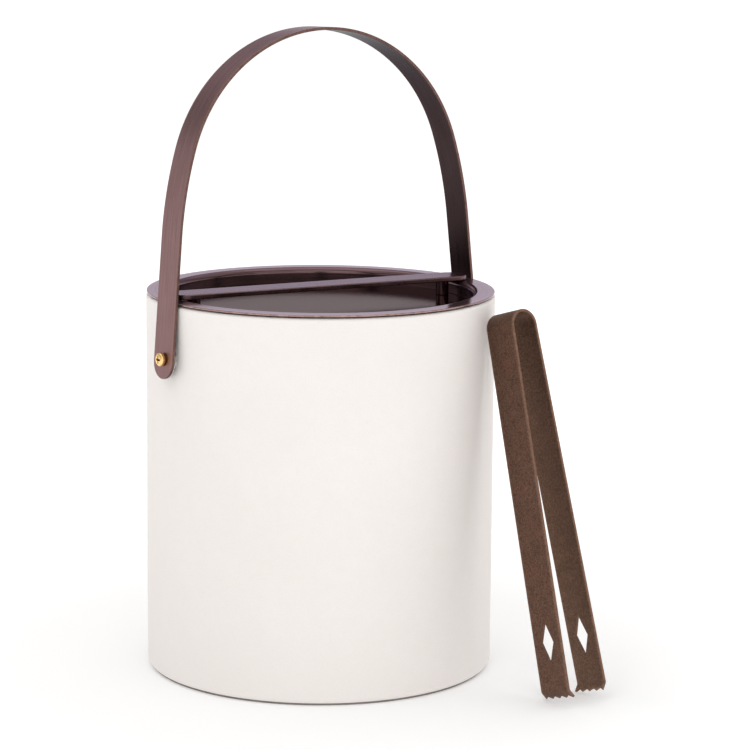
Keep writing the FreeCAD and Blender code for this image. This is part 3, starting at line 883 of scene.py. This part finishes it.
def make_aged_bronze(name, dark, brown, red, copper, wear_share=0.55):
    """Blasted plating: brown with dark and red patches, copper grains and copper worn edges."""
    made, tree, shader = finish(name, Metallic=0.85)
    place = object_place(tree)
    sand = noise(tree, place, 2600.0, 4.0, 0.7)
    grit = noise(tree, place, 900.0, 5.0, 0.75)
    patch = noise(tree, place, 170.0, 6.0, 0.75, 0.3)
    blush = noise(tree, place, 60.0, 5.0, 0.7, 0.5)
    colour = blend_colour(tree, spread(tree, patch, 0.42, 0.72, 0.0, 0.8), brown, dark)
    colour = blend_colour(tree, spread(tree, blush, 0.5, 0.72, 0.0, 0.5), colour, red)
    colour = blend_colour(tree, spread(tree, sand, 0.48, 0.62, 0.0, 0.5), colour, copper)
    colour = blend_colour(tree, spread(tree, grit, 0.4, 0.54, 0.75, 0.0), colour, dark)
    worn = calculate(tree, "MULTIPLY", wear_and_recess_shade_value(tree), spread(tree, grit, 0.35, 0.6, 0.3, 1.0))
    colour = blend_colour(tree, calculate(tree, "MULTIPLY", worn, wear_share), colour, copper)
    tree.links.new(colour, shader.inputs["Base Color"])
    tree.links.new(spread(tree, grit, 0.3, 0.7, 0.42, 0.6), shader.inputs["Roughness"])
    height = calculate(tree, "ADD", sand, grit)
    raise_bump(tree, shader, height, 0.3, 0.04 * MM)
    return made


# %% [markdown]
# The small pieces get finishes of their own: brass with fine turning marks, clear plastic with
# the faint cloud of a moulding, grey-brown rubber, and the plain materials hidden inside the wall.

# %% Finishes of the small and hidden pieces


def make_plain(name, first, second, rough, scale, bump, depth=0.05 * MM, **values):
    """Two colours mixed by noise, with roughness and bump from the same noise."""
    made, tree, shader = finish(name, **values)
    place = object_place(tree)
    grain = noise(tree, place, scale, 4.0)
    slow = noise(tree, place, scale / 12, 3.0)
    both = calculate(tree, "MULTIPLY", calculate(tree, "ADD", grain, slow), 0.5)
    tree.links.new(blend_colour(tree, spread(tree, both, 0.35, 0.65), first, second),
                   shader.inputs["Base Color"])
    tree.links.new(spread(tree, both, 0.35, 0.65, *rough), shader.inputs["Roughness"])
    raise_bump(tree, shader, grain, bump, depth)
    return made


def make_brass():
    """Polished brass with turning marks round the head, and painted shade in the recess."""
    made, tree, shader = finish("polished_brass", Metallic=1.0, Anisotropic=0.3)
    marks = noise(tree, flat_place(tree, (12.0, 9000.0, 1)), 1.0, 3.0)
    tarnish = noise(tree, object_place(tree), 700.0, 4.0)
    colour = blend_colour(tree, spread(tree, tarnish, 0.4, 0.7), (0.95, 0.67, 0.29),
                          (0.84, 0.53, 0.20))
    # Painted shade: the brass goes almost black down in the cross recess, where shade falls.
    colour = blend_colour(tree, calculate(tree, "MULTIPLY", wear_and_recess_shade_value(tree), 0.95), colour,
                          (0.05, 0.022, 0.01))
    tree.links.new(colour, shader.inputs["Base Color"])
    tree.links.new(spread(tree, marks, 0.3, 0.7, 0.16, 0.32), shader.inputs["Roughness"])
    raise_bump(tree, shader, marks, 0.15, 0.01 * MM)
    return made


leather = make_leather()
bronze_strap = make_bronze("bronze_strap_brushed", (0.195, 0.108, 0.100), (0.32, 0.20, 0.186),
                           (0.32, 0.19, 0.16), grazing=(0.95, 0.85, 0.98), wear_share=0.5)
# Painted shade: a much darker copy of the strap's bronze for the inner side of the arch, the side
# turned away from the lights.
bronze_strap_inner = make_bronze("bronze_strap_inner", (0.028, 0.016, 0.016),
                                 (0.070, 0.045, 0.046), (0.12, 0.065, 0.058),
                                 grazing=(0.55, 0.56, 0.58), wear_share=0.5)
copper_edge = make_bronze("copper_cut_edge", (0.10, 0.048, 0.044), (0.20, 0.115, 0.10),
                          (0.25, 0.15, 0.125), rough=(0.3, 0.45), long=300.0, wear_share=0.4)
bronze_bar = make_bronze("bronze_bar_brushed", (0.105, 0.062, 0.066), (0.18, 0.115, 0.122),
                         (0.24, 0.15, 0.14), rough=(0.2, 0.34), grazing=(0.8, 0.7, 0.85),
                         wear_share=0.4)
bronze_lid = make_bronze("bronze_lid_brushed", (0.085, 0.050, 0.052), (0.150, 0.092, 0.095),
                         (0.30, 0.19, 0.165), rough=(0.07, 0.16), grazing=(0.42, 0.37, 0.38),
                         anisotropy=0.2)
# The liner's lighter colour deep inside is painted light.
bronze_liner = make_bronze("bronze_liner_spun", (0.095, 0.052, 0.054), (0.175, 0.108, 0.112),
                           (0.46, 0.31, 0.27), rough=(0.1, 0.2), long=20.0,
                           grazing=(0.92, 0.8, 0.98), painted_light_deep=(0.50, 0.37, 0.34), metal=0.82)
aged_bronze = make_aged_bronze("aged_bronze_tongs", (0.070, 0.036, 0.025), (0.145, 0.078, 0.054),
                               (0.19, 0.080, 0.050), (0.36, 0.21, 0.145))
# Painted light: a lighter copy of the tongs' bronze for the inner faces of the arms, which face
# each other and get less light.
aged_inner_painted_light = make_aged_bronze("aged_bronze_inner", (0.085, 0.048, 0.033), (0.180, 0.102, 0.070),
                              (0.22, 0.105, 0.066), (0.40, 0.25, 0.17), wear_share=0.3)
aged_edge = make_aged_bronze("aged_bronze_edge", (0.10, 0.054, 0.036), (0.215, 0.118, 0.080),
                             (0.24, 0.115, 0.075), (0.36, 0.21, 0.14), wear_share=0.5)
brass = make_brass()
clear_plastic = make_plain("clear_moulded_plastic", (0.97, 0.975, 0.98), (0.92, 0.93, 0.94),
                           (0.03, 0.09), 300.0, 0.1, 0.02 * MM,
                           Transmission_Weight=0.8, IOR=1.49)
pad_rubber = make_plain("taupe_pad_rubber", (0.19, 0.165, 0.15), (0.27, 0.24, 0.22),
                        (0.6, 0.8), 1800.0, 0.3)
# Partly painted shade: a rubber seal ring, whose near-black colour also paints the shadow line in
# the gap under the rim.
seal_rubber = make_plain("seal_rubber", (0.012, 0.010, 0.010), (0.028, 0.024, 0.023),
                         (0.5, 0.7), 1500.0, 0.2)
core_plastic = make_plain("core_tube_plastic", (0.50, 0.50, 0.48), (0.58, 0.58, 0.56),
                          (0.4, 0.55), 900.0, 0.15)
pressed_board = make_plain("pressed_board", (0.42, 0.29, 0.17), (0.62, 0.48, 0.32),
                           (0.7, 0.85), 700.0, 0.5, 0.1 * MM)
white_foam = make_plain("white_bead_foam", (0.86, 0.86, 0.84), (0.95, 0.95, 0.94),
                        (0.6, 0.8), 320.0, 0.6, 0.3 * MM)
zinc_steel = make_plain("zinc_plated_steel", (0.52, 0.53, 0.55), (0.66, 0.66, 0.66),
                        (0.25, 0.4), 1500.0, 0.15, 0.02 * MM, Metallic=1.0)
print(len(bpy.data.materials), "finishes")

# %% [markdown]
# ## Putting it together
# Every piece names the body that it moves with and the nodes of the engineering model that it
# stands for. Nodes whose shape is already right stay, and only get a finish. The tongs are one
# springy strip, which is not attached to either of the two arms' bodies.

# %% Pieces on their bodies


def publish(piece, finishes, body, slot, *nodes):
    """Gives a piece its finish and its body, and hides the nodes that it replaces. The slot is not
    used.
    """
    for given in finishes:
        piece.data.materials.append(given)
    if body:
        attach(piece, body)
    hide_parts(*nodes)


publish(bucket_wall, [leather], "bucket", "cream_leather", "wrap")
publish(liner_spun, [bronze_liner], "bucket", "bronze_liner", "liner")
thickened(handle_strap_bent, strap_thickness, 0.22 * MM,
          [bronze_strap, bronze_strap_inner, copper_edge])
publish(handle_strap_bent, [], "handle", "bronze_strap", "handle_strap")
publish(lid_disc_brushed, [bronze_lid], "lid", "bronze_lid", "lid_disc")
publish(lid_bar_flat, [bronze_bar], "lid", "bronze_lid", "lid_bar")
for side, word in SIDES.items():
    publish(lid_posts[side], [bronze_lid], "lid", "bronze_lid", "lid_standoff_" + word)
    publish(pivot_screws[side], [brass], "bucket", "brass", "pivot_screw_" + word)
    publish(pivot_rings[side], [clear_plastic], "bucket", "clear_plastic",
            "pivot_spacer_" + word)

thickened(tongs_strip, tongs_sheet, 0.18 * MM, [aged_bronze, aged_inner_painted_light, aged_edge])
publish(tongs_strip, [], None, "bronze_tongs", "tongs_rear_arm", "tongs_front_arm")
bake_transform(tongs_strip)

# %% Finishes on the nodes that stay
kept_nodes = {
    "base_pad": pad_rubber,
    "rim_seal": seal_rubber,
    "core_tube": core_plastic,
    "base_board": pressed_board,
    "foam_sleeve": white_foam,
    "foam_disc": white_foam,
    "lid_screws": zinc_steel,
    "pivot_washer_left": zinc_steel,
    "pivot_washer_right": zinc_steel,
    "pivot_nut_left": zinc_steel,
    "pivot_nut_right": zinc_steel,
}
for name, given in kept_nodes.items():
    kept = frame["nodes"][name]
    if not kept.material_slots:
        kept.data.materials.append(given)
    for held in kept.material_slots:
        held.material = given
print(len(kept_nodes), "nodes keep their own shape")

# %% [markdown]
# ## Floor and light
# The bucket stands on a white table that glows a little, and more with distance, as in a light
# tent, so the ground fades out round soft contact shadows. A broad light from the front left
# shapes the wall, a weaker one fills in from the front, and a soft one hangs overhead. A narrow
# dark card behind the camera, which the camera can't see, gives the metal something dark to
# mirror.

# %% Floor
floor_reach = 2.2
glow_start, glow_end = 0.16, 0.6
glow_near, glow_far = 0.18, 0.5


def flat_sheet(name, corners, given):
    """One four-sided face with a finish."""
    mesh = bpy.data.meshes.new(name)
    mesh.from_pydata(corners, [], [(0, 1, 2, 3)])
    mesh.materials.append(given)
    made = bpy.data.objects.new(name, mesh)
    bpy.context.scene.collection.objects.link(made)
    return made


floor_white, floor_tree, floor_shader = finish("white_table", Roughness=0.9,
                                               Specular_IOR_Level=0.1,
                                               Emission_Color=(1, 1, 1, 1),
                                               Base_Color=(0.85, 0.85, 0.85, 1))
from_middle = node(floor_tree, "VectorMath", {0: object_place(floor_tree)}, operation="LENGTH")
floor_tree.links.new(spread(floor_tree, from_middle.outputs["Value"], glow_start, glow_end,
                            glow_near, glow_far), floor_shader.inputs["Emission Strength"])
floor = flat_sheet("floor", [(x * floor_reach, y * floor_reach, 0)
                             for x, y in ((-1, -1), (1, -1), (1, 1), (-1, 1))], floor_white)

# %% Lights


def add_light(name, place, aim, size, power):
    """Square area light at a place, turned to face its aim."""
    data = bpy.data.lights.new(name, "AREA")
    data.size, data.energy = size, power
    made = bpy.data.objects.new(name, data)
    bpy.context.scene.collection.objects.link(made)
    made.location = place
    made.rotation_mode = "QUATERNION"
    made.rotation_quaternion = (Vector(aim) - Vector(place)).to_track_quat("-Z", "Y")
    made.visible_camera = False
    return made


middle = (0.0, 0.0, 0.12)
add_light("front_left", (-1.45, -1.7, 1.35), middle, 2.2, 11.5)
add_light("front_fill", (0.1, -2.1, 0.9), middle, 1.4, 3.2)
add_light("overhead", (0.1, 0.2, 2.0), middle, 1.8, 9.5)

# %% Dark card
card_half_width, card_low, card_high = 0.14, -0.5, 0.7
card_distance = 1.25
card_black, _, _ = finish("dark_card_cloth", Roughness=1.0, Base_Color=(0.01, 0.01, 0.01, 1))
card = flat_sheet("dark_card", [(-card_half_width, 0, card_low), (card_half_width, 0, card_low),
                                (card_half_width, 0, card_high),
                                (-card_half_width, 0, card_high)], card_black)
card.location = camera_place * card_distance
card.rotation_euler.z = math.atan2(-camera_place.x, camera_place.y) + math.pi
card.visible_camera = False

# %% [markdown]
# ## The room
# The camera sees a plain white room. Everything else sees one whose brightness changes with
# height: nearly white low down and high up, with a dark band between, which puts a dark streak
# across the polished parts.

# %% Room
seen_strength, room_strength = 1.05, 1.06
room_levels = ((0.0, 0.80), (0.2, 0.84), (0.30, 0.34), (0.48, 0.30), (0.58, 0.84), (1.0, 0.70))
world = bpy.data.worlds.new("white_room")
bpy.context.scene.world = world
world.use_nodes = True
sky = world.node_tree
sky.nodes.clear()
seen = node(sky, "Background", {"Color": (1, 1, 1, 1), "Strength": seen_strength})
towards_sky = node(sky, "TexCoord").outputs["Generated"]
height = node(sky, "SeparateXYZ", {"Vector": towards_sky}).outputs["Z"]
bands = node(sky, "ValToRGB", {"Fac": height})
stops = bands.color_ramp.elements
for place, _ in room_levels[1:-1]:
    stops.new(place)
for stop, (_, level) in zip(stops, room_levels):
    stop.color = (level, level * 0.995, level * 0.99, 1)
room = node(sky, "Background", {"Color": bands.outputs["Color"], "Strength": room_strength})
ray = node(sky, "LightPath")
either = node(sky, "MixShader", {0: ray.outputs["Is Camera Ray"], 1: room.outputs[0],
                                 2: seen.outputs[0]})
node(sky, "OutputWorld", {"Surface": either.outputs[0]})
bpy.context.scene.view_settings.view_transform = "Standard"
print("lights", [lamp.name for lamp in bpy.data.lights])
